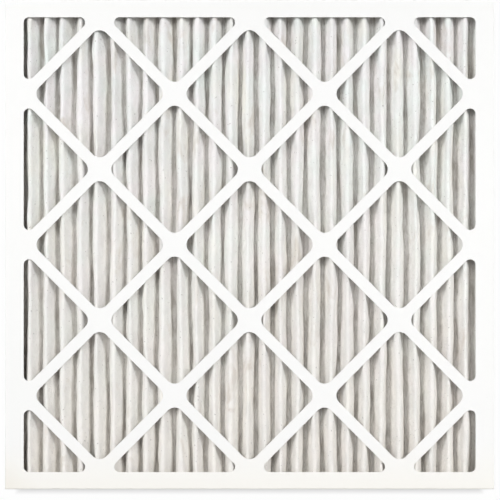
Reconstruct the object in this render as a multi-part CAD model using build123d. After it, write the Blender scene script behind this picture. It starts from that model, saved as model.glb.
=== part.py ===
from build123d import *
import os
from math import asin, atan2, ceil, cos, degrees, hypot, pi, sin

# Pleated panel air filter, nominal 20 x 20 x 1 in. Millimetres. It lies on its air-leaving face:
# +Z runs against the air flow, out of the air-entering face, and the pleats run along Y.
# The origin is the middle of the panel, on the plane that it rests on.

# Panel
panel_width = 495.3  # along X
panel_height = 495.3  # along Y
panel_depth = 19.05  # along Z

# Folded board of the two frame halves
board = 0.7
fold_inside = 0.5  # radius inside the folds between a face and its walls
wrap_radius = 0.5  # radius outside the upright bend between a wall and its tab
glue_gap = 0.1  # between two leaves of board that are glued together
tab_length = 20.0
tab_taper = 3.0  # by how much a tab narrows towards its end, at the top and at the bottom

# Die-cut faces: a border round a window that diamond straps cross
side_border = 18.9  # left and right of the window
end_border = 17.4  # at the other two sides
diamond_count_across = 3
diamond_count_up = 3
strap_width = 11.4
crossing_inset = 1.1  # from the window's edge to the middle of the outermost strap crossings
diamond_corner_radius = 9.5  # where two straps meet
edge_corner_radius = 5.5  # where a strap meets the border

# Pleated media
media_thickness = 2.0
pleat_pitch = 16.95
pack_shift = -1.9  # of the crest nearest the middle, along X
crest_radius = 3.0  # outside of a crest, on the air-entering side
root_radius = 1.4  # inside of the fold between two crests, on the same side
crest_corner_count = 6  # the flats of a fold meet at so many corners: outside of a crest
back_corner_count = 4  # outside of a root and inside of a crest
root_corner_count = 3  # inside of a root
seat_gap = 0.05  # between the media, its grid or a seal and what it lies against
near = 0.001  # how close counts as at an edge or a bend

# Wire grid bonded to the air-leaving side of the media
wire = 0.8
cross_wire_count = 2  # bent along the pleats' section
straight_wire_margin = 4.0  # from the ends of the pleats to the ends of the straight wires

# Edge seals, ribbons of hot melt between the pack and the walls
end_seal = 1.0  # thickness at the ends of the pleats
side_seal_end_gap = 1.0  # from the ends of the side seals to the tabs

# The back half nests inside the walls and tabs of the front half
leaf = board + glue_gap
back_width = panel_width - 4 * leaf
back_height = panel_height - 2 * leaf
back_depth = panel_depth - board - fold_inside

# The pack lies inside the walls and tabs of the back half, between the two faces
hollow_width = back_width - 2 * board
hollow_height = back_height - 2 * board
pack_width = hollow_width - 2 * leaf - 2 * seat_gap
pack_height = hollow_height - 2 * end_seal - 4 * seat_gap
pack_bottom = board + seat_gap + wire + seat_gap
pack_top = panel_depth - board - seat_gap

# Section of the media: straight flanks that touch a round fold at each end, and their lean
crest_inside = crest_radius - media_thickness
root_outside = root_radius + media_thickness
crest_centre = pack_top - crest_radius
root_centre = pack_bottom + root_outside
half_pitch = pleat_pitch / 2
centres_apart = hypot(half_pitch, crest_centre - root_centre)
lean = atan2(half_pitch, crest_centre - root_centre) - asin((crest_radius + root_radius) / centres_apart)
crests_each_way = ceil((pack_width / 2 + abs(pack_shift)) / pleat_pitch)
crest_places = [pack_shift + place * pleat_pitch for place in range(-crests_each_way, crests_each_way + 1)]


def die_cut_windows():
    """The openings of a face: what the straps leave of the window, with rounded corners. A strap runs
    from one crossing at the window's edge to another."""
    window_width = panel_width - 2 * side_border
    window_height = panel_height - 2 * end_border
    step_x = (window_width - 2 * crossing_inset) / diamond_count_across
    step_y = (window_height - 2 * crossing_inset) / diamond_count_up
    slope = degrees(atan2(step_y, step_x))
    past_crossing = hypot(crossing_inset, crossing_inset)
    straps_each_way = diamond_count_across + diamond_count_up
    windows = Rectangle(window_width, window_height)
    for place in range(straps_each_way):
        shift = place - (straps_each_way - 1) / 2
        low = max(-diamond_count_across / 2, shift - diamond_count_up / 2)
        high = min(diamond_count_across / 2, shift + diamond_count_up / 2)
        middle = (low + high) / 2
        strap = Rectangle((high - low) * hypot(step_x, step_y) + 2 * past_crossing, strap_width)
        windows -= Pos(middle * step_x, (middle - shift) * step_y) * Rot(0, 0, slope) * strap
        windows -= Pos(middle * step_x, (shift - middle) * step_y) * Rot(0, 0, -slope) * strap

    def on_edge(corner):
        at_side = window_width / 2 - abs(corner.X) < near
        at_end = window_height / 2 - abs(corner.Y) < near
        return at_side or at_end

    windows = fillet([v for v in windows.vertices() if not on_edge(v)], diamond_corner_radius)
    windows = fillet([v for v in windows.vertices() if on_edge(v)], edge_corner_radius)
    return windows


def corner_tab(width, height, depth):
    """The glue tab in the corner at +X +Y, folded off the wall at +Y and glued inside the wall at +X."""
    root = height / 2 - board
    end = root - tab_length
    top = depth - board - fold_inside
    outline = Polyline((root, 0), (root, top), (end, top - tab_taper), (end, tab_taper), close=True)
    plane = Plane((width / 2 - leaf - board, 0, 0), x_dir=(0, 1, 0), z_dir=(1, 0, 0))
    return extrude(plane * make_face(outline), board)


def corner_seam(width, height, wall):
    """The gap between the wall at +X and the bent wall and tab beside it."""
    length = tab_length + 2 * board
    x = width / 2 - board - glue_gap / 2
    y = height / 2 + board - length / 2
    return Pos(x, y, wall / 2) * Box(glue_gap, length, wall)


def in_each_corner(shape):
    """The shape at +X +Y and its mirror images in the other three corners."""
    pair = [shape, mirror(shape, Plane.YZ)]
    return pair + [mirror(each, Plane.XZ) for each in pair]


def folded_tray(width, height, depth, windows):
    """Half of the frame: a die-cut face on top, four walls folded down from it, four glued tabs."""
    outside = Pos(0, 0, depth / 2) * Box(width, height, depth)
    outside = fillet(outside.faces().sort_by(Axis.Z)[-1].edges(), fold_inside + board)
    inside = Pos(0, 0, (depth - board) / 2) * Box(width - 2 * board, height - 2 * board, depth - board)
    inside = fillet(inside.faces().sort_by(Axis.Z)[-1].edges(), fold_inside)
    tray = outside - inside
    tray -= Pos(0, 0, depth - 2 * board) * extrude(windows, 3 * board)
    for tab in in_each_corner(corner_tab(width, height, depth)):
        tray += tab
    for seam in in_each_corner(corner_seam(width, height, depth - board - fold_inside)):
        tray -= seam

    def at_wrap(edge):
        off_x = abs(abs((edge @ 0.5).X) - (width / 2 - leaf))
        off_y = abs(abs((edge @ 0.5).Y) - height / 2)
        return off_x < near and off_y < near

    return fillet([edge for edge in tray.edges().filter_by(Axis.Z) if at_wrap(edge)], wrap_radius)


def fold(x, z, radius, up, corners):
    """Corners of a fold, from -X to +X: flats that touch an arc, between flanks that touch it too."""
    step = (pi - 2 * lean) / corners
    reach = radius / cos(step / 2)
    angles = [(place - (corners - 1) / 2) * step for place in range(corners)]
    return [(x + reach * sin(angle), z + up * reach * cos(angle)) for angle in angles]


def pack_section(upper, lower):
    """What lies between two sides drawn from -X to +X, cut off at the sides of the pack."""
    outline = Polyline(*upper, *reversed(lower), close=True)
    section = make_face(outline) & Pos(0, panel_depth / 2) * Rectangle(pack_width, panel_depth)
    return Plane.XZ * section


def pleated_media():
    """The media, one sheet folded into pleats."""
    upper = []
    lower = []
    for x in crest_places:
        upper += fold(x, crest_centre, crest_radius, 1, crest_corner_count)
        upper += fold(x + half_pitch, root_centre, root_radius, -1, root_corner_count)
        lower += fold(x, crest_centre, crest_inside, 1, back_corner_count)
        lower += fold(x + half_pitch, root_centre, root_outside, -1, back_corner_count)
    return extrude(pack_section(upper, lower), pack_height / 2, both=True)


def wire_side(below):
    """One side of a cross wire, this far below the air-leaving side of the media: it follows the
    flanks, with a flat under each crest and each root."""
    under_crest = (crest_inside - seat_gap) * sin(lean) + seat_gap - below
    crest_half = (crest_inside - below - under_crest * sin(lean)) / cos(lean)
    side = []
    for x in crest_places:
        side += [(x - crest_half, crest_centre + under_crest), (x + crest_half, crest_centre + under_crest)]
        side += fold(x + half_pitch, root_centre, root_outside + below, -1, 2)
    return side


def support_grid():
    """Cross wires bent along the pleats, and straight wires welded to them under the crests."""
    upper = wire_side(seat_gap)
    lower = wire_side(seat_gap + wire)
    cross_wire = extrude(pack_section(upper, lower), wire / 2, both=True)
    spacing = pack_height / cross_wire_count
    places = [(place + 0.5) * spacing - pack_height / 2 for place in range(cross_wire_count)]
    straight_z = max(z for x, z in lower) - wire / 2
    straight_wire = Box(wire, pack_height - 2 * straight_wire_margin, wire)
    grid = [Pos(0, y, 0) * cross_wire for y in places]
    grid += [Pos(x, 0, straight_z) * straight_wire for x in crest_places if abs(x) < pack_width / 2 - wire]
    return Compound(children=grid)


def seal(length_x, length_y):
    """A ribbon of hot melt, as tall as the pack."""
    return Pos(0, 0, (pack_top + pack_bottom) / 2) * Box(length_x, length_y, pack_top - pack_bottom)


windows = die_cut_windows()
back_tray = folded_tray(back_width, back_height, back_depth, windows)
end_seal_y = hollow_height / 2 - seat_gap - end_seal / 2
side_seal = leaf - seat_gap
side_seal_x = hollow_width / 2 - seat_gap - side_seal / 2
side_seal_length = hollow_height - 2 * (tab_length + side_seal_end_gap)
nodes = {
    "front_frame": folded_tray(panel_width, panel_height, panel_depth, windows),
    "back_frame": Pos(0, 0, back_depth) * Rot(180, 0, 0) * back_tray,
    "pleated_media": pleated_media(),
    "support_grid": support_grid(),
    "top_edge_seal": Pos(0, end_seal_y, 0) * seal(pack_width, end_seal),
    "bottom_edge_seal": Pos(0, -end_seal_y, 0) * seal(pack_width, end_seal),
    "left_edge_seal": Pos(-side_seal_x, 0, 0) * seal(side_seal, side_seal_length),
    "right_edge_seal": Pos(side_seal_x, 0, 0) * seal(side_seal, side_seal_length),
}
os.makedirs("parts", exist_ok=True)
for name, shape in nodes.items():
    export_step(shape, f"parts/{name}.step")
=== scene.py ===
"""Looks of the pleated panel air filter: board, pleated non-woven media, wire grid and hot melt."""

import math

import bpy
import numpy as np
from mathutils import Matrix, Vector


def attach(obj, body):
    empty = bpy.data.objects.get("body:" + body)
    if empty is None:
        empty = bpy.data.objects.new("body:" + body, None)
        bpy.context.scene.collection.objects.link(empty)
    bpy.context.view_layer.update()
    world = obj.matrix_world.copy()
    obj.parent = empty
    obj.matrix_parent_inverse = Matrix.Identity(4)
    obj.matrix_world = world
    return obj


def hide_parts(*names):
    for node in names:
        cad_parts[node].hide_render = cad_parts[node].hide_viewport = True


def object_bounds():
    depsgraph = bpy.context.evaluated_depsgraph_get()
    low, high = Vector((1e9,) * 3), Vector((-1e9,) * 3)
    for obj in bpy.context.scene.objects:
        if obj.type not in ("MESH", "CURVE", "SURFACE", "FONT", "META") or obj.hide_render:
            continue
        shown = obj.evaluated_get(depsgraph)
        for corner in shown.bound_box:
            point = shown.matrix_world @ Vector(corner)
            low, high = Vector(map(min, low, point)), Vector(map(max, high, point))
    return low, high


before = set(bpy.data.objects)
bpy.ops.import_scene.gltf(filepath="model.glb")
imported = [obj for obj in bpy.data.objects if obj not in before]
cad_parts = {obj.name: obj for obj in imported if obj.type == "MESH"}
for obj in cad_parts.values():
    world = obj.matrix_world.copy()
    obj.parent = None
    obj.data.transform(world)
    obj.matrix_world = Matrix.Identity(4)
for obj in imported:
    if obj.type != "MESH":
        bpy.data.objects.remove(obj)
cad_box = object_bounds()

# Materials and stage are in metres, and shapes in millimetres until make_mesh
MM = 0.001
HALF = cad_box[1][0]  # of the square panel's side (metres)
TOP = cad_box[1][2]  # of its air-entering face (metres)

# The panel, as the CAD has it (millimetres)
LEAF = 0.8  # of board, with the glue under it
PACK_WIDTH = 489.0  # along X
PACK_HEIGHT = 490.1  # along Y
PACK_BOTTOM = 1.6
PACK_TOP = 18.3
THICKNESS = 2.0  # of the media
PITCH = 16.95
SHIFT = -1.9  # of the crest nearest the middle, along X
CREST_RADIUS = 3.0  # outside of a crest, on the air-entering side
ROOT_RADIUS = 1.4  # inside of the fold between two crests, on the same side
SEAT = 0.05  # between the media and its grid
WIRE = 0.8
WIRE_MARGIN = 4  # from the ends of the pleats to the ends of the straight wires
CROSS_WIRES = 20  # where the CAD has 2

# Section of the media: the crests, with one or two beyond each side of the pack, the centres of the
# folds, the lean of the flanks, and the angle between the normals of a crest's top and its flank
REACH = math.ceil(PACK_WIDTH / 2 / PITCH) + 1
CREST_PLACES = [SHIFT + k * PITCH for k in range(-REACH, REACH + 1)]
CREST_Z = PACK_TOP - CREST_RADIUS
ROOT_Z = PACK_BOTTOM + ROOT_RADIUS + THICKNESS
LEAN = math.atan2(PITCH / 2, CREST_Z - ROOT_Z) - math.asin(
    (CREST_RADIUS + ROOT_RADIUS) / math.hypot(PITCH / 2, CREST_Z - ROOT_Z)
)
TURN = math.pi / 2 - LEAN

# How the real pleats differ from that (millimetres): how far the crests and the roots lie to the
# right, and how far the flanks that face right swell, at each of three places along X
PLACES = (-100, 20, 120)
CREST_SHIFT = (-0.7, -0.2, 0.0)
ROOT_SHIFT = (2.3, 0.1, 0.0)
BULGE = (1.6, 0.9, 0.5)
LEFT_BULGE = 0.5  # share of it in the flanks that face left
CALM_STRIP = 8  # along each cut side, where the pleats stray less and less
LUMPS = (  # size of the unevenness, its length along the section and along Y, and its seed
    (0.58, 5, 13, 21),
    (0.30, 3, 7, 22),
    (0.70, 12, 30, 23),
    (0.22, 3.4, 45, 24),
)
LUMPS_DOWN = 0.3  # taken off them, since the pack already fills the room between the faces

# How finely the pieces are divided
CREST_STEPS = 6
FLANK_STEPS = 3
SHEET_ROOT_STEPS = 2
WIRE_ROOT_STEPS = 3
SHEET_ROWS = 70  # along Y on the air-leaving side, with one more between each two on the other
WIRE_SIDES = 6
WIRE_POINTS = 60  # along a straight wire

# Stage (metres)
VIEW_MIDDLE = (0.0004, -0.0054)  # what the camera stands over
VIEW_WIDTH = 0.50605  # of the photograph's frame, at the panel's top
CAMERA_HEIGHT = 1.2  # over the panel's top
CAMERA_REACH = 20
SENSOR = 36  # in millimetres
FLOOR_REACH = 4
FLOOR_GAP = 0.0002  # keeps the floor's face off the panel's
LAMPS = (  # name, x and y of its direction for a z of 1, x of the spot it is aimed at, its share
    ("lamp_right", (1.045, 0.76), 1.1, 1.22),
    ("lamp_left", (-1.045, 0.76), -0.6, 0.74),
    ("lamp_over", (-0.3, 0.35), -0.5, 0.5),
    ("lamp_front", (0.0, -2.4), 0.0, 0.16),
)
LAMP_LEVEL = 0.0521  # of a whole share: colours render about as they are written
LAMP_DISTANCE = 3.5
LAMP_SIZE = 0.36  # as a share of its distance
LAMP_SPREAD = 60  # degrees
FILL_LEVEL = 0.17  # of the world's light


# ---------------------------------------------------------------- shapes


def smooth_noise(u, v, seed):
    """Cubic noise from -1 to 1 on a unit grid, the same on every run."""
    gain = 1.6  # the cubic weights alone even out the highs and lows

    def lattice(i, j):
        """An integer hash of the grid point, from -1 to 1."""
        i, j = i.astype(np.int64), j.astype(np.int64)
        n = (i * 374761393 + j * 668265263 + seed * 69069) & 0xFFFFFFFF
        n = ((n ^ (n >> 13)) * 1274126177) & 0xFFFFFFFF
        return ((n ^ (n >> 16)) & 0xFFFFFF) / 0x7FFFFF - 1

    def weights(t):
        """Cubic B-spline weights of the four grid points around."""
        a = ((1 - t) ** 3) / 6
        b = (3 * t**3 - 6 * t**2 + 4) / 6
        c = (-3 * t**3 + 3 * t**2 + 3 * t + 1) / 6
        return a, b, c, t**3 / 6

    i, j = np.floor(u), np.floor(v)
    total = 0
    for di, wu in enumerate(weights(u - i)):
        for dj, wv in enumerate(weights(v - j)):
            total = total + wu * wv * lattice(i + di - 1, j + dj - 1)
    return gain * total


def pleat_stations(root_steps):
    """Stations from one root up to, but not with, the next: x and z of the sheet's middle there,
    and x and z of its normal."""

    def fold(x, z, radius, up, first, last, steps):
        rows = []
        for k in range(steps + 1):
            angle = first + (last - first) * k / steps
            nx, nz = math.sin(angle), math.cos(angle)
            rows.append((x + up * radius * nx, z + up * radius * nz, nx, nz))
        return rows

    root = fold(-PITCH / 2, ROOT_Z, ROOT_RADIUS + THICKNESS / 2, -1, 0, -TURN, root_steps)
    crest = fold(0, CREST_Z, CREST_RADIUS - THICKNESS / 2, 1, -TURN, TURN, CREST_STEPS)
    flank = [
        tuple(s + (e - s) * k / FLANK_STEPS for s, e in zip(root[-1], crest[0]))
        for k in range(1, FLANK_STEPS)
    ]
    rise = root + flank
    fall = [(-x, z, -nx, nz) for x, z, nx, nz in reversed(rise)]
    return np.array(rise + crest + fall[:-1])


def pack_stations(root_steps):
    """Stations over the whole width of the pack, cut at its two sides."""
    sliver = 0.2  # no strip at a cut side is narrower
    pleat = pleat_stations(root_steps)
    rows = np.concatenate([pleat + (place, 0, 0, 0) for place in CREST_PLACES])
    limit = PACK_WIDTH / 2
    inside = np.flatnonzero(np.abs(rows[:, 0]) < limit - sliver)
    first, last = inside[[0, -1]]

    def cut(inner, outer, side):
        t = (side * limit - inner[0]) / (outer[0] - inner[0])
        return inner + t * (outer - inner)

    low = cut(rows[first], rows[first - 1], -1)
    high = cut(rows[last], rows[last + 1], 1)
    return np.vstack([low, rows[first : last + 1], high])


def calm(x):
    """Share of the straying at x: less and less of it towards the cut sides."""
    return np.clip((PACK_WIDTH / 2 - np.abs(x)) / CALM_STRIP, 0, 1)


def wave(line, y, size, length, start, seed):
    """Straying along each crest and root, of this size and wave length in mm."""
    return size * smooth_noise(line, y / length + start, seed)


def wander(x, y):
    """How far the pleats stray sideways, and how far their crests sink, in mm. Each crest and root
    strays in slow and in quick waves, and as a whole."""
    line = (x - SHIFT) / PITCH * 2
    slow = wave(line, y, size=0.8, length=110, start=40, seed=3)
    quick = wave(line, y, size=0.7, length=30, start=9, seed=4)
    whole = 0.6 * smooth_noise(line, np.full_like(line, 0.5), seed=11)
    sink = 0.3 + wave(line / 2 + 0.5, y, size=0.6, length=50, start=7, seed=5)
    return (slow + quick + whole) * calm(x), np.clip(sink, 0, None)


def bend(points, x, y):
    """Points of the regular pack, at this x and y in it, moved to where the real one has them."""
    side, sink = wander(x, y)
    height = np.clip((points[..., 2] - PACK_BOTTOM) / (PACK_TOP - PACK_BOTTOM), 0, 1)
    crest = np.interp(x, PLACES, CREST_SHIFT)
    root = np.interp(x, PLACES, ROOT_SHIFT)
    out = points.copy()
    out[..., 0] += side + (crest * height + root * (1 - height)) * calm(x)
    out[..., 2] -= sink * height**2
    return out


def lumps(run, y):
    """Unevenness of the sheet along its normal, in mm."""
    layers = [size * smooth_noise(run / along, y / up, seed) for size, along, up, seed in LUMPS]
    return sum(layers) - LUMPS_DOWN


def bulge(stations):
    """How far the flanks swell along their normal, in mm: most half-way down."""
    steep = 3  # the swelling is whole from where the normal's x is a third
    down = np.clip((CREST_Z - stations[:, 1]) / (CREST_Z - ROOT_Z), 0, 1)
    swell = np.interp(stations[:, 0], PLACES, BULGE) * np.sin(math.pi * down)
    return swell * np.clip(stations[:, 2] * steep, -LEFT_BULGE, 1) * np.sign(stations[:, 2])


def side_points(stations, run, y, side):
    """Points of one side of the sheet: 1 for the air-entering one, which is uneven, or -1."""
    x, y = np.meshgrid(stations[:, 0], y)
    out = side * THICKNESS / 2 + bulge(stations) + (lumps(run, y) if side > 0 else 0 * y)
    moved = [x + out * stations[:, 2], y, stations[:, 1] + out * stations[:, 3]]
    points = bend(np.stack(moved, -1), x, y)
    points[..., 0] = np.clip(points[..., 0], -PACK_WIDTH / 2, PACK_WIDTH / 2)
    points[..., 2] = np.clip(points[..., 2], PACK_BOTTOM, PACK_TOP)
    return points.reshape(-1, 3)


def grid_faces(rows, columns, offset=0, flip=False):
    """Faces between points in rows and columns, counted from this offset."""
    i, j = np.meshgrid(np.arange(rows - 1), np.arange(columns - 1), indexing="ij")
    a = (i * columns + j).ravel() + offset
    quads = np.stack([a, a + columns, a + columns + 1, a + 1], 1)
    return quads[:, ::-1] if flip else quads


def add_object(name, data):
    made = bpy.data.objects.new(name, data)
    bpy.context.scene.collection.objects.link(made)
    return made


def make_mesh(name, points, faces):
    """A smooth piece from points in millimetres."""
    mesh = bpy.data.meshes.new(name)
    mesh.from_pydata((points * MM).tolist(), [], faces)
    mesh.polygons.foreach_set("use_smooth", [True] * len(mesh.polygons))
    mesh.update()
    return add_object(name, mesh)


def make_media():
    """One closed sheet: its air-entering side, its air-leaving side with half the rows, and the
    rim. The developed length of its section comes with it, in mm."""
    stations = pack_stations(SHEET_ROOT_STEPS)
    steps = np.hypot(np.diff(stations[:, 0]), np.diff(stations[:, 1]))
    run = np.concatenate([[0], np.cumsum(steps)])
    columns, coarse = len(stations), SHEET_ROWS
    fine = 2 * coarse - 1
    end = PACK_HEIGHT / 2
    upper = side_points(stations, run, np.linspace(-end, end, fine), 1)
    lower = side_points(stations, run, np.linspace(-end, end, coarse), -1)
    n = len(upper)
    faces = grid_faces(fine, columns, 0, True).tolist() + grid_faces(coarse, columns, n).tolist()
    for top_row, low_row, turn in ((0, 0, -1), (fine - 1, coarse - 1, 1)):
        for j in range(columns - 1):
            a, b = top_row * columns + j, n + low_row * columns + j
            faces.append([a, b, b + 1, a + 1][::turn])
    for column, turn in ((0, -1), (columns - 1, 1)):
        for i in range(coarse - 1):
            a = [(2 * i + k) * columns + column for k in range(3)]
            b = [n + (i + k) * columns + column for k in range(2)]
            for face in ([a[0], a[1], b[0]], [a[1], b[1], b[0]], [a[1], a[2], b[1]]):
                faces.append(face[::turn])
    return make_mesh("pleated_sheet", np.vstack([upper, lower]), faces), run[-1]


def tube(path):
    """Points and faces of a wire along a path, with its ends closed."""
    ahead = np.gradient(path, axis=0)
    ahead /= np.linalg.norm(ahead, axis=1)[:, None]
    lies_along_y = abs(ahead[0, 1]) > 0.5
    across = np.cross(ahead, (0.0, 0.0, 1.0) if lies_along_y else (0.0, 1.0, 0.0))
    across /= np.linalg.norm(across, axis=1)[:, None]
    other = np.cross(across, ahead)
    turn = np.arange(WIRE_SIDES) * 2 * math.pi / WIRE_SIDES
    cosine, sine = np.cos(turn)[None, :, None], np.sin(turn)[None, :, None]
    ring = across[:, None] * cosine + other[:, None] * sine
    points = (path[:, None] + WIRE / 2 * ring).reshape(-1, 3)
    faces = []
    for k in range(len(path) - 1):
        for s in range(WIRE_SIDES):
            a, b = k * WIRE_SIDES + s, k * WIRE_SIDES + (s + 1) % WIRE_SIDES
            faces.append((a, b, b + WIRE_SIDES, a + WIRE_SIDES))
    for k, order in ((0, -1), (len(path) - 1, 1)):
        centre = len(points)
        points = np.vstack([points, path[k]])
        for s in range(WIRE_SIDES):
            pair = (k * WIRE_SIDES + s, k * WIRE_SIDES + (s + 1) % WIRE_SIDES)[::order]
            faces.append((pair[0], pair[1], centre))
    return points, faces


def make_grid():
    """Welded wire grid: wires under the crests, and cross wires bent along the air-leaving side."""
    stations = pack_stations(WIRE_ROOT_STEPS)
    below = THICKNESS / 2 + SEAT + WIRE / 2 - bulge(stations)
    cross_x = stations[:, 0] - below * stations[:, 2]
    cross_z = stations[:, 1] - below * stations[:, 3]
    keep = np.abs(cross_x) < PACK_WIDTH / 2 - WIRE
    paths = []  # each with the x that its points have in the regular pack
    for k in range(CROSS_WIRES):
        y = ((k + 0.5) / CROSS_WIRES - 0.5) * PACK_HEIGHT
        path = np.stack([cross_x, np.full_like(cross_x, y), cross_z], 1)
        paths.append((path[keep], stations[keep, 0]))

    crest_cut = 2  # a crest nearer than this to a cut side has no wire
    straight_z = CREST_Z + CREST_RADIUS - THICKNESS - SEAT - 1.5 * WIRE  # under the cross wires
    end = PACK_HEIGHT / 2
    y = np.linspace(-end + WIRE_MARGIN, end - WIRE_MARGIN, WIRE_POINTS)
    for place in CREST_PLACES:
        if abs(place) < PACK_WIDTH / 2 - crest_cut:
            x = np.full_like(y, place)
            paths.append((np.stack([x, y, np.full_like(y, straight_z)], 1), x))

    points, faces = [], []
    count = 0
    for path, x in paths:
        made, wire_faces = tube(bend(path, x, path[:, 1]))
        points.append(made)
        faces.extend([tuple(v + count for v in face) for face in wire_faces])
        count += len(made)
    return make_mesh("wire_grid", np.vstack(points), faces)


# ---------------------------------------------------------------- materials


class Shader:
    """A material's nodes. Their inputs go by name, or by number as i0, i1 and so on."""

    def __init__(self, name):
        self.material = bpy.data.materials.new(name)
        self.material.use_nodes = True
        self.tree = self.material.node_tree
        self.tree.nodes.clear()
        self.out = self.tree.nodes.new("ShaderNodeOutputMaterial")
        self.place = self.add("ShaderNodeTexCoord")["Object"]

    def add(self, kind, setting=None, **inputs):
        """A new node's outputs."""
        node = self.tree.nodes.new(kind)
        for key, value in (setting or {}).items():
            setattr(node, key, value)
        for key, value in inputs.items():
            self.give(node, key.replace("_", " "), value)
        return node.outputs

    def give(self, node, key, value):
        """Links an output to an input of the node, or sets the input to a value."""
        by_number = key[0] == "i" and key[1:].isdigit()
        socket = node.inputs[int(key[1:])] if by_number else node.inputs[key]
        if isinstance(value, bpy.types.NodeSocket):
            self.tree.links.new(value, socket)
        else:
            socket.default_value = value

    def noise(
        self, scale, detail=3.0, roughness=0.55, distortion=0.0, stretch=(1, 1, 1), turn=0.0
    ):
        """Noise of this scale per metre, longest along the axis whose stretch is the smallest."""
        turned = (0, 0, turn)
        place = self.add("ShaderNodeMapping", Vector=self.place, Scale=stretch, Rotation=turned)
        return self.add(
            "ShaderNodeTexNoise",
            Vector=place["Vector"],
            Scale=scale,
            Detail=detail,
            Roughness=roughness,
            Distortion=distortion,
        )["Fac"]

    def ramp(self, value, low, high, start=0.0, end=1.0):
        """From start to end as the value goes from low to high."""
        return self.add(
            "ShaderNodeMapRange", i0=value, i1=low, i2=high, i3=start, i4=end
        )["Result"]

    def spots(self, low, high, scale, **noise):
        """1 where this noise is high, and 0 where it is low."""
        return self.ramp(self.noise(scale, **noise), low, high)

    def mix(self, share, first, second):
        return self.add("ShaderNodeMix", {"data_type": "RGBA"}, i0=share, i6=first, i7=second)[2]

    def tint(self, colour, where, share, second):
        """The colour, with this share of a second one where it is wanted."""
        return self.mix(self.math("MULTIPLY", where, share), colour, (*second, 1))

    def math(self, kind, a, b=0.0):
        return self.add("ShaderNodeMath", {"operation": kind}, i0=a, i1=b)["Value"]

    def axes(self):
        return self.add("ShaderNodeSeparateXYZ", Vector=self.place)

    def bump(self, height, distance, strength, below=None):
        inputs = {"Height": height, "Distance": distance, "Strength": strength}
        if below is not None:
            inputs["Normal"] = below
        return self.add("ShaderNodeBump", **inputs)["Normal"]

    def finish(self, **inputs):
        shader = self.tree.nodes.new("ShaderNodeBsdfPrincipled")
        for key, value in inputs.items():
            self.give(shader, key.replace("_", " "), value)
        self.tree.links.new(shader.outputs[0], self.out.inputs["Surface"])
        return self.material


def board_material(name, outside, half_width, half_height):
    """White-coated chipboard: white outside, grey-brown inside and in the cut edges. The coated
    face lies at this z, and the walls' outer sides this far from the middle (metres)."""
    coat = (0.00042, 0.0005)  # how deep the white goes
    s = Shader(name)
    axes = s.axes()
    cloudy = s.spots(0.35, 0.65, scale=14)
    colour = s.mix(cloudy, (0.968, 0.968, 0.957, 1), (0.978, 0.977, 0.966, 1))
    # Painted shade: the white turns warmer and greyer towards the lower edge
    painted_shade_low_edge = s.ramp(axes["Y"], -0.2, -0.247)
    colour = s.mix(painted_shade_low_edge, colour, (0.975, 0.957, 0.908, 1))
    # Painted shade: warmer and darker still at the lower left corner
    painted_shade_low_left = s.ramp(s.math("ADD", axes["X"], axes["Y"]), -0.455, -0.492)
    colour = s.tint(colour, painted_shade_low_left, 0.6, (0.905, 0.867, 0.79))
    depth = s.math("ABSOLUTE", s.math("SUBTRACT", axes["Z"], outside))
    for axis, half in (("X", half_width), ("Y", half_height)):
        inward = s.math("SUBTRACT", half, s.math("ABSOLUTE", axes[axis]))
        depth = s.math("MINIMUM", depth, inward)
    core = s.spots(0.35, 0.65, scale=220, detail=4)
    core = s.mix(core, (0.40, 0.37, 0.33, 1), (0.50, 0.47, 0.42, 1))
    colour = s.mix(s.ramp(depth, *coat), colour, core)
    fleck = s.spots(0.66, 0.76, scale=650, detail=2)
    colour = s.tint(colour, fleck, 0.12, (0.72, 0.70, 0.66))
    fibre = s.noise(900, detail=4, roughness=0.6, distortion=0.6)
    soft = s.noise(55)
    normal = s.bump(soft, distance=0.0006, strength=0.25)
    normal = s.bump(fibre, distance=0.00005, strength=0.35, below=normal)
    rough = s.ramp(s.noise(120), 0.3, 0.7, start=0.42, end=0.56)
    return s.finish(
        Base_Color=colour, Roughness=rough, Specular_IOR_Level=0.35, Normal=normal
    )


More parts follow.
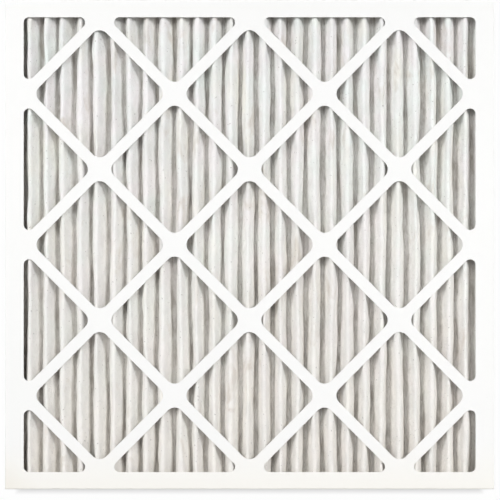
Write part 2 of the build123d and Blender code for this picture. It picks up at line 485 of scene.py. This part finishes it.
def media_material():
    """Uneven white fibres: yellowish, greyish and stained in places, with painted shade down in the
    pleats, mottled and streaky there, and warmer towards the lower edge."""
    s = Shader("nonwoven_media")
    axes = s.axes()
    hue = s.spots(0.36, 0.62, scale=26, detail=2.5, roughness=0.6)
    colour = s.mix(hue, (0.945, 0.992, 0.965, 1), (0.996, 0.968, 0.974, 1))
    yellow = s.spots(0.5, 0.7, scale=45, detail=2, roughness=0.5, stretch=(1, 0.4, 1), turn=0.2)
    colour = s.tint(colour, yellow, 0.75, (0.985, 0.975, 0.90))
    warm = s.ramp(axes["Y"], 0.16, -0.24)
    colour = s.tint(colour, warm, 0.85, (0.955, 0.915, 0.86))
    cloth = {"detail": 3, "roughness": 0.6, "distortion": 0.3}
    patch = s.spots(
        0.42, 0.72, scale=95, detail=4, roughness=0.65, distortion=0.5, stretch=(1, 0.4, 1)
    )
    colour = s.tint(colour, patch, 0.36, (0.75, 0.745, 0.73))
    cloud = s.spots(0.5, 0.75, scale=30, stretch=(1, 0.5, 1), **cloth)
    colour = s.tint(colour, cloud, 0.36, (0.76, 0.745, 0.725))
    stain = s.spots(
        0.6, 0.72, scale=38, roughness=0.6, distortion=0.5, stretch=(1, 0.6, 1), turn=0.3
    )
    colour = s.tint(colour, stain, 0.55, (0.70, 0.63, 0.55))
    # Painted shade: greyer down in the pleats, where little light reaches
    painted_pleat_depth_shade = s.ramp(axes["Z"], 0.0175, 0.006)
    colour = s.tint(colour, painted_pleat_depth_shade, 0.4, (0.78, 0.755, 0.72))
    # Painted shade, mottled: darker blotches, only down in the pleats
    painted_pleat_shade_mottle = s.spots(0.44, 0.66, scale=210, roughness=0.65, distortion=0.4, stretch=(1, 0.5, 1))
    painted_pleat_shade_mottle = s.math("MULTIPLY", painted_pleat_shade_mottle, painted_pleat_depth_shade)
    colour = s.tint(colour, painted_pleat_shade_mottle, 0.45, (0.58, 0.56, 0.52))
    # Painted shade: darker still at the bottoms of the folds
    root = s.ramp(axes["Z"], 0.0068, 0.0048)
    colour = s.tint(colour, root, 0.15, (0.5, 0.48, 0.45))
    # Painted shade, streaky: dark brown streaks along the lower flanks and folds
    painted_pleat_shade_streak = s.spots(0.5, 0.66, scale=110, roughness=0.65, distortion=0.3, stretch=(1, 0.22, 1))
    painted_pleat_shade_streak = s.math("MULTIPLY", painted_pleat_shade_streak, s.ramp(axes["Z"], 0.0098, 0.0062))
    colour = s.tint(colour, painted_pleat_shade_streak, 0.55, (0.34, 0.30, 0.26))
    speck = s.spots(0.69, 0.75, scale=380, detail=1.5, roughness=0.6)
    colour = s.tint(colour, speck, 0.55, (0.40, 0.38, 0.36))
    fibre = {"scale": 700, "roughness": 0.6, "distortion": 1.2}
    fibres = s.math(
        "ADD",
        s.noise(stretch=(1, 0.22, 0.6), turn=0.5, **fibre),
        s.noise(stretch=(0.22, 1, 0.6), turn=0.35, **fibre),
    )
    wrinkles = s.noise(120, stretch=(1, 0.6, 1), **cloth)
    normal = s.bump(wrinkles, distance=0.0018, strength=0.7)
    tufts = s.noise(420, detail=2, roughness=0.6)
    normal = s.bump(tufts, distance=0.0006, strength=0.7, below=normal)
    normal = s.bump(fibres, distance=0.00025, strength=0.55, below=normal)
    return s.finish(
        Base_Color=colour,
        Roughness=0.95,
        Specular_IOR_Level=0.12,
        Sheen_Weight=0.12,
        Sheen_Roughness=0.6,
        Normal=normal,
    )


def wire_material():
    s = Shader("galvanised_wire")
    spangle = s.spots(0.35, 0.65, scale=800, detail=2)
    colour = s.mix(spangle, (0.55, 0.56, 0.58, 1), (0.7, 0.71, 0.72, 1))
    return s.finish(
        Base_Color=colour,
        Metallic=1.0,
        Roughness=s.ramp(s.noise(500, detail=2), 0.3, 0.7, start=0.3, end=0.5),
        Normal=s.bump(s.noise(1500, detail=2), distance=0.00005, strength=0.3),
    )


def melt_material():
    s = Shader("hot_melt_bead")
    cloudy = s.spots(0.35, 0.65, scale=60)
    colour = s.mix(cloudy, (0.7, 0.64, 0.48, 1), (0.78, 0.74, 0.6, 1))
    return s.finish(
        Base_Color=colour,
        Roughness=s.ramp(s.noise(90, detail=2), 0.3, 0.7, start=0.28, end=0.45),
        Specular_IOR_Level=0.5,
        Normal=s.bump(s.noise(140), distance=0.0008, strength=0.6),
    )


def floor_material():
    """Pale floor that shows white to the camera, but less so close above and below the panel, where
    its soft shadow stays."""
    s = Shader("pale_floor")
    grain = s.spots(0.3, 0.7, scale=3, detail=2)
    colour = s.mix(grain, (0.69, 0.69, 0.69, 1), (0.72, 0.72, 0.72, 1))
    diffuse = s.add("ShaderNodeBsdfDiffuse", Color=colour)[0]
    glow = s.add("ShaderNodeEmission", Color=(1, 1, 1, 1), Strength=1.0)[0]
    axes = s.axes()
    # It is whitest from under the panel outward at the sides, and from just off it at the ends
    off_x = s.ramp(s.math("ABSOLUTE", axes["X"]), HALF - 0.014, HALF - 0.006)
    off_y = s.ramp(s.math("ABSOLUTE", axes["Y"]), HALF + 0.0035, HALF + 0.0095)
    white = s.ramp(s.math("MAXIMUM", off_x, off_y), 0.0, 1.0, start=0.57, end=0.98)
    path = s.add("ShaderNodeLightPath")
    seen = s.math("MAXIMUM", path["Is Camera Ray"], path["Is Glossy Ray"])
    seen = s.math("MAXIMUM", seen, path["Is Transmission Ray"])
    both = s.add("ShaderNodeMixShader", i0=s.math("MULTIPLY", seen, white), i1=diffuse, i2=glow)[0]
    s.tree.links.new(both, s.out.inputs["Surface"])
    return s.material


# ---------------------------------------------------------------- stage


def make_camera():
    """Straight over the panel, as in the photograph."""
    camera = add_object("camera", bpy.data.cameras.new("camera"))
    camera.location = (*VIEW_MIDDLE, TOP + CAMERA_HEIGHT)
    camera.data.sensor_width = SENSOR
    camera.data.lens = SENSOR * CAMERA_HEIGHT / VIEW_WIDTH
    camera.data.clip_end = CAMERA_REACH
    bpy.context.scene.camera = camera


def make_floor():
    r = FLOOR_REACH
    mesh = bpy.data.meshes.new("floor")
    mesh.from_pydata([(-r, -r, 0), (r, -r, 0), (r, r, 0), (-r, r, 0)], [], [(0, 1, 2, 3)])
    floor = add_object("floor", mesh)
    floor.location = (0, 0, -FLOOR_GAP)
    mesh.materials.append(floor_material())


def make_lamps():
    """Large soft disks. A narrow spread aimed off the middle evens out or tilts their light."""
    for name, toward, target, share in LAMPS:
        light = bpy.data.lights.new(name, "AREA")
        light.shape = "DISK"
        light.size = LAMP_SIZE * LAMP_DISTANCE
        light.spread = math.radians(LAMP_SPREAD)
        aim = Vector((*toward, 1.0)).normalized()
        light.energy = share * LAMP_LEVEL * math.pi / aim.z * math.pi * LAMP_DISTANCE**2
        lamp = add_object(name, light)
        lamp.location = aim * LAMP_DISTANCE
        ahead = Vector((target, 0.0, 0.0)) - lamp.location
        lamp.rotation_euler = ahead.to_track_quat("-Z", "Y").to_euler()


def make_world():
    """White to the camera, and a weak even light on everything."""
    world = bpy.data.worlds.new("studio")
    world.use_nodes = True
    tree = world.node_tree
    tree.nodes.clear()
    out = tree.nodes.new("ShaderNodeOutputWorld")
    fill = tree.nodes.new("ShaderNodeBackground")
    white = tree.nodes.new("ShaderNodeBackground")
    for shade, strength in ((fill, FILL_LEVEL), (white, 1.0)):
        shade.inputs["Color"].default_value = (1, 1, 1, 1)
        shade.inputs["Strength"].default_value = strength
    path = tree.nodes.new("ShaderNodeLightPath")
    mix = tree.nodes.new("ShaderNodeMixShader")
    tree.links.new(path.outputs["Is Camera Ray"], mix.inputs[0])
    tree.links.new(fill.outputs[0], mix.inputs[1])
    tree.links.new(white.outputs[0], mix.inputs[2])
    tree.links.new(mix.outputs[0], out.inputs["Surface"])
    bpy.context.scene.world = world


# ---------------------------------------------------------------- the dressed part


def dress(name, material):
    """Gives a CAD node this material."""
    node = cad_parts[name]
    node.data.materials.clear()
    node.data.materials.append(material)


bpy.context.scene.view_settings.view_transform = "Standard"
make_camera()
make_floor()
make_lamps()
make_world()

leaf = LEAF * MM
dress("front_frame", board_material("front_board_coated", TOP, HALF, HALF))
dress("back_frame", board_material("back_board_coated", 0.0, HALF - 2 * leaf, HALF - leaf))
melt = melt_material()
for side in ("top", "bottom", "left", "right"):
    dress(f"{side}_edge_seal", melt)

sheet, developed = make_media()
sheet.data.materials.append(media_material())
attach(sheet, "root")
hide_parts("pleated_media")

wires = make_grid()
wires.data.materials.append(wire_material())
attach(wires, "root")
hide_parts("support_grid")
